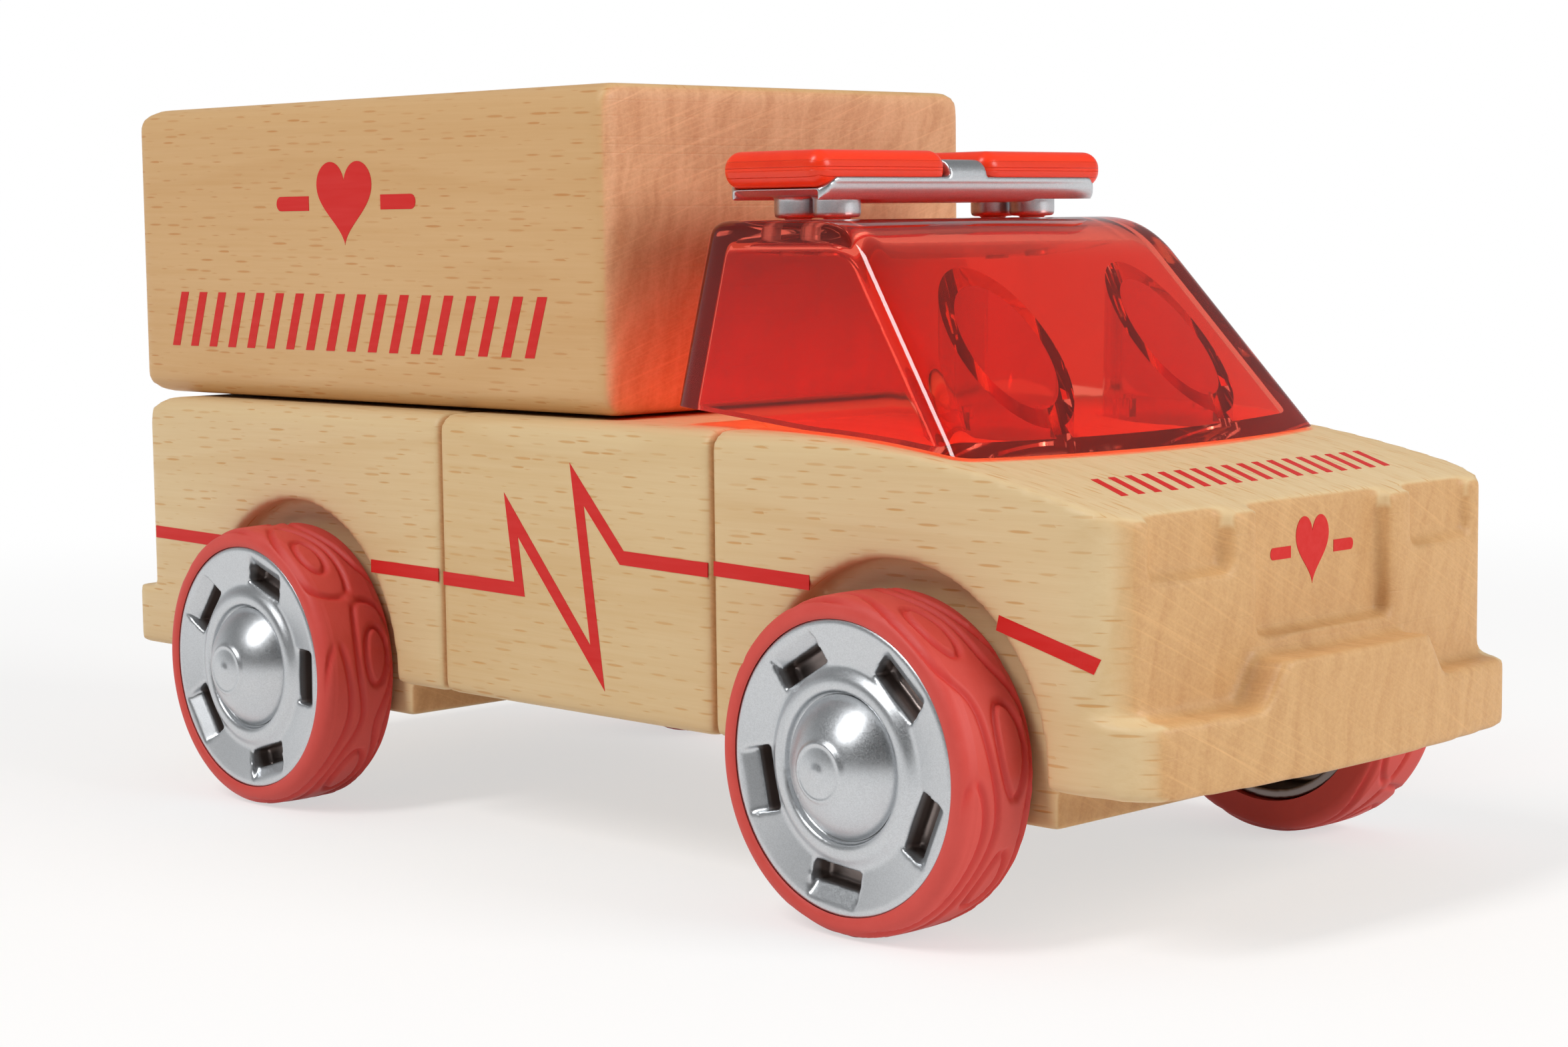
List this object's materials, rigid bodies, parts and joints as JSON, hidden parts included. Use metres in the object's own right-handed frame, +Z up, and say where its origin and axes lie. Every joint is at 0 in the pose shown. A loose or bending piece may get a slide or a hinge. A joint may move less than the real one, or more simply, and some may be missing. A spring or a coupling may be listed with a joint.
{
  "type": "toy ambulance",
  "caption": "Wooden toy ambulance of pull-apart beech blocks with a lift-off cargo box, a clear red canopy with a light bar, and free-rolling wheels with rubber tyres.",
  "frame": {"origin": "on the floor, under the centre of the box around the whole toy", "axes": "+X forward, towards the bumper; +Y to the vehicle's left; +Z up"},
  "size_m": [0.1172, 0.0586, 0.0581],
  "materials": {
    "beech": "oiled, sanded smooth",
    "dowel_beech": "plain turned wood",
    "grey_plastic": "moulded, matt",
    "clear_red_plastic": "clear tinted, polished",
    "lamp_plastic": "clear tinted, frosted inside",
    "silver_plastic": "silver metallic paint, satin",
    "red_rubber": "moulded rubber, matt",
    "steel": "plain drawn wire"
  },
  "bodies": {
    "middle": {"middle_block": "beech", "rear_socket": "grey_plastic", "front_socket": "grey_plastic"},
    "rear_module": {"rear_block": "beech", "rear_plug": "grey_plastic", "bush_rear_left": "grey_plastic", "bush_rear_right": "grey_plastic"},
    "front_module": {"front_block": "beech", "front_plug": "grey_plastic", "bush_front_left": "grey_plastic", "bush_front_right": "grey_plastic"},
    "box": {"cargo_box": "beech", "box_dowels": "dowel_beech"},
    "cab": {"canopy": "clear_red_plastic"},
    "light_bar": {"light_bar_base": "silver_plastic", "light_bar_lens_left": "lamp_plastic", "light_bar_lens_right": "lamp_plastic"},
    "wheel_front_left": {"tyre_front_left": "red_rubber", "rim_front_left": "silver_plastic", "hub_cap_front_left": "silver_plastic", "axle_front_left": "steel"},
    "wheel_front_right": {"tyre_front_right": "red_rubber", "rim_front_right": "silver_plastic", "hub_cap_front_right": "silver_plastic", "axle_front_right": "steel"},
    "wheel_rear_left": {"tyre_rear_left": "red_rubber", "rim_rear_left": "silver_plastic", "hub_cap_rear_left": "silver_plastic", "axle_rear_left": "steel"},
    "wheel_rear_right": {"tyre_rear_right": "red_rubber", "rim_rear_right": "silver_plastic", "hub_cap_rear_right": "silver_plastic", "axle_rear_right": "steel"}
  },
  "joints": [
    {"name": "rear_pull", "type": "slide", "parent": "middle", "child": "rear_module", "axis": [-1, 0, 0], "range_m": [0, 0.012]},
    {"name": "front_pull", "type": "slide", "parent": "middle", "child": "front_module", "axis": [1, 0, 0], "range_m": [0, 0.012]},
    {"name": "box_lift", "type": "slide", "parent": "rear_module", "child": "box", "axis": [0, 0, 1], "range_m": [0, 0.012]},
    {"name": "canopy_lift", "type": "slide", "parent": "front_module", "child": "cab", "axis": [0, 0, 1], "range_m": [0, 0.01]},
    {"name": "light_bar_lift", "type": "slide", "parent": "cab", "child": "light_bar", "axis": [0, 0, 1], "range_m": [0, 0.006]},
    {"name": "wheel_front_left_spin", "type": "hinge", "parent": "front_module", "child": "wheel_front_left", "pos_m": [0.03565, 0.02355, 0.01155], "axis": [0, 1, 0], "continuous": true},
    {"name": "wheel_front_right_spin", "type": "hinge", "parent": "front_module", "child": "wheel_front_right", "pos_m": [0.03565, -0.02355, 0.01155], "axis": [0, 1, 0], "continuous": true},
    {"name": "wheel_rear_left_spin", "type": "hinge", "parent": "rear_module", "child": "wheel_rear_left", "pos_m": [-0.03295, 0.02355, 0.01155], "axis": [0, 1, 0], "continuous": true},
    {"name": "wheel_rear_right_spin", "type": "hinge", "parent": "rear_module", "child": "wheel_rear_right", "pos_m": [-0.03295, -0.02355, 0.01155], "axis": [0, 1, 0], "continuous": true}
  ]
}
